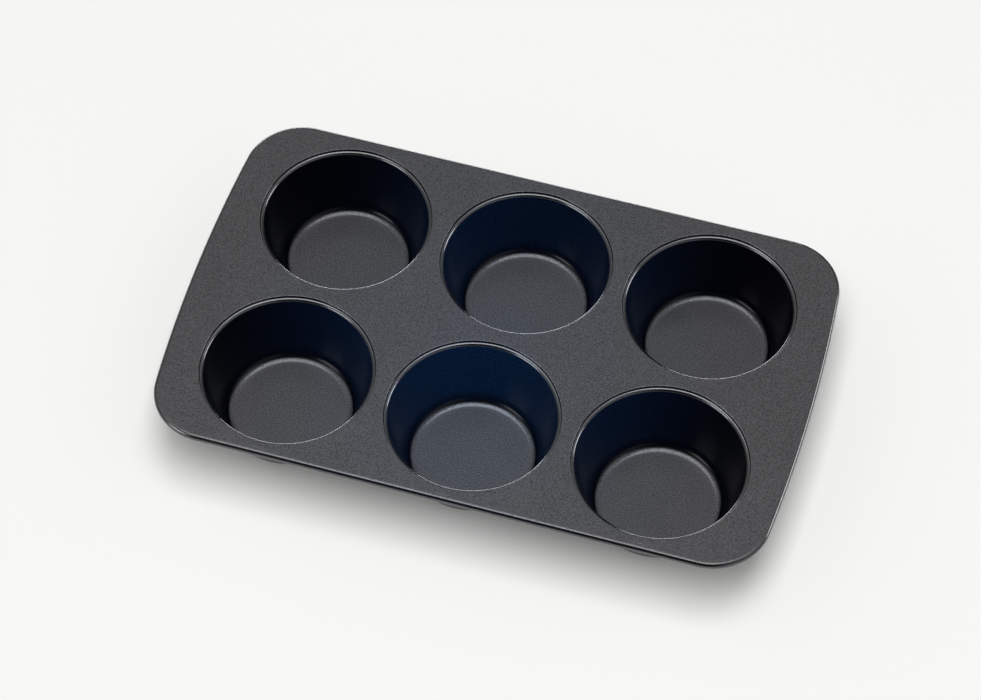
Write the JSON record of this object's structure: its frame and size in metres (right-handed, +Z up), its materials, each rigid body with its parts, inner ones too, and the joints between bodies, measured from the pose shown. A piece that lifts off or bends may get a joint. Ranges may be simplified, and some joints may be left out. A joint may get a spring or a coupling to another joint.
{
  "type": "muffin pan",
  "caption": "Muffin pan of dark coated sheet steel: round tapered cups clinched into a flat plate with rounded corners and a border rolled round a wire.",
  "frame": {"origin": "on the surface that the cups stand on, under the middle of the pan", "axes": "+X along the pan's long side, +Y from the front row of cups to the back row, +Z up out of the cups"},
  "size_m": [0.267, 0.1658, 0.0317],
  "materials": {
    "dark_coating": "dark grey satin nonstick coat with a fine metallic grain",
    "bare_wire": "drawn steel wire"
  },
  "bodies": {
    "root": {"tray_plate": "dark_coating", "rim_wire": "bare_wire", "cup_front_left": "dark_coating", "cup_front_middle": "dark_coating", "cup_front_right": "dark_coating", "cup_back_left": "dark_coating", "cup_back_middle": "dark_coating", "cup_back_right": "dark_coating"}
  },
  "joints": []
}
